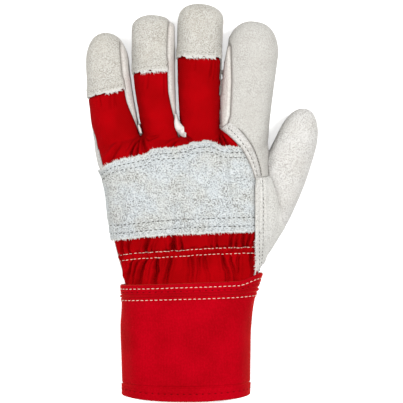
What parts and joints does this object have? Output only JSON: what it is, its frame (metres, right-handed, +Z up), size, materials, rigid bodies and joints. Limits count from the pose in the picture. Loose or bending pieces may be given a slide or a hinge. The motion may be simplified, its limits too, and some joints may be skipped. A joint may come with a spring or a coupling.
{
  "type": "rigger glove",
  "caption": "Left-hand rigger work glove with suede palm, thumb, fingertips and knuckle strap, gathered cotton back and an open safety cuff.",
  "frame": {"origin": "on the table under the middle of the palm, which lies flat there", "axes": "+X to the thumb side, +Y to the fingertips, +Z up out of the back of the hand; the glove lies palm down"},
  "size_m": [0.1592, 0.2687, 0.0478],
  "materials": {
    "split_leather": "off-white suede, napped and matt",
    "cotton_drill": "red twill, matt",
    "rubberised_cotton": "red, stiff and finely ribbed, slight sheen"
  },
  "bodies": {
    "root": {"palm": "split_leather", "index_back": "split_leather", "side_panel": "split_leather", "edge_strip": "split_leather", "thumb_back": "split_leather", "thumb_front": "split_leather", "side_wall_little_ring": "split_leather", "side_wall_ring_middle": "split_leather", "side_wall_middle_index": "split_leather", "fingertip_little": "split_leather", "fingertip_ring": "split_leather", "fingertip_middle": "split_leather", "knuckle_strap": "split_leather", "back_cotton": "cotton_drill", "cuff": "rubberised_cotton"}
  },
  "joints": []
}
